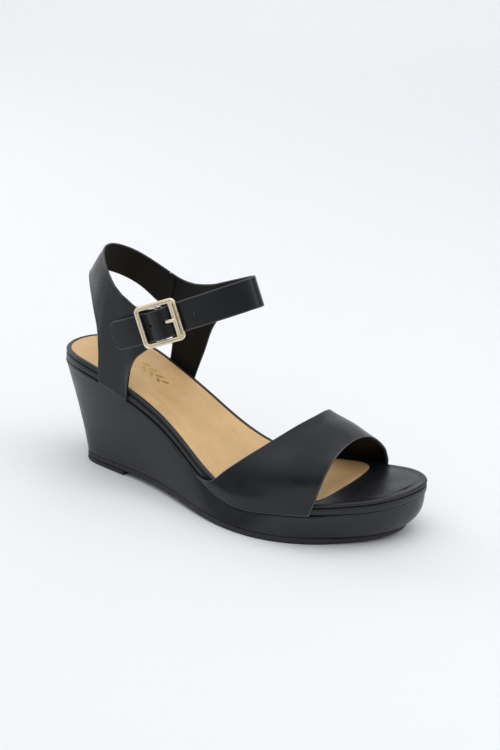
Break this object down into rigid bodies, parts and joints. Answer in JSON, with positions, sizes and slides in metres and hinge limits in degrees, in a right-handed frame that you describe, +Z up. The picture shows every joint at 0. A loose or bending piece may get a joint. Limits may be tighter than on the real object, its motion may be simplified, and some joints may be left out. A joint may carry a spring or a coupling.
{
  "type": "wedge sandal",
  "caption": "Open-toe wedge sandal with a wide toe band, an ankle strap closed by a roller buckle, and a padded footbed on a covered platform wedge.",
  "frame": {"origin": "on the ground, in the middle of the flat forefoot tread", "axes": "+X towards the toe, +Y towards the inner (medial) side of the foot, +Z up"},
  "size_m": [0.2398, 0.0905, 0.1375],
  "materials": {
    "outer_leather": "smooth black leather with a soft satin sheen",
    "lining": "matt black lining leather",
    "wrap": "black leather cover, satin",
    "sock": "natural tan sock leather, lightly creased",
    "rubber": "matt black rubber",
    "board": "pressed fibre board",
    "foam": "latex foam sheet",
    "core": "cork and resin composite",
    "steel": "plain rolled steel",
    "gold": "polished pale gold plating"
  },
  "bodies": {
    "sandal": {"ankle_strap": "outer_leather", "ankle_strap_lining": "lining", "buckle_tab": "outer_leather", "footbed_foam": "foam", "heel_top_piece": "rubber", "insole_board": "board", "insole_cover": "outer_leather", "insole_rand": "wrap", "lateral_quarter": "outer_leather", "lateral_quarter_lining": "lining", "medial_quarter": "outer_leather", "medial_quarter_lining": "lining", "outsole": "rubber", "seam_patch": "lining", "shank": "steel", "shank_rivet_front": "steel", "shank_rivet_rear": "steel", "sock_lining": "sock", "vamp": "outer_leather", "vamp_lining": "lining", "wedge_core": "core", "wedge_wrap": "wrap"},
    "buckle": {"buckle_frame": "gold"},
    "roller": {"buckle_roller": "gold"},
    "prong": {"buckle_prong": "gold"},
    "strap_end": {"strap_tail": "outer_leather", "strap_tail_lining": "lining"}
  },
  "joints": [
    {"name": "buckle_swing", "type": "hinge", "parent": "sandal", "child": "buckle", "pos_m": [-0.08796, -0.02296, 0.10631], "axis": [-0.3955, 0, 0.9184], "range_deg": [-2, 2]},
    {"name": "roller_spin", "type": "hinge", "parent": "buckle", "child": "roller", "pos_m": [-0.07885, -0.02172, 0.11023], "axis": [-0.3955, 0, 0.9184], "continuous": true},
    {"name": "prong_lift", "type": "hinge", "parent": "buckle", "child": "prong", "pos_m": [-0.08796, -0.02296, 0.10631], "axis": [0.3955, 0, -0.9184], "range_deg": [0, 10]},
    {"name": "strap_tail_lift", "type": "hinge", "parent": "sandal", "child": "strap_end", "pos_m": [-0.09936, -0.02858, 0.1014], "axis": [-0.3955, 0, 0.9184], "range_deg": [0, 50]}
  ]
}
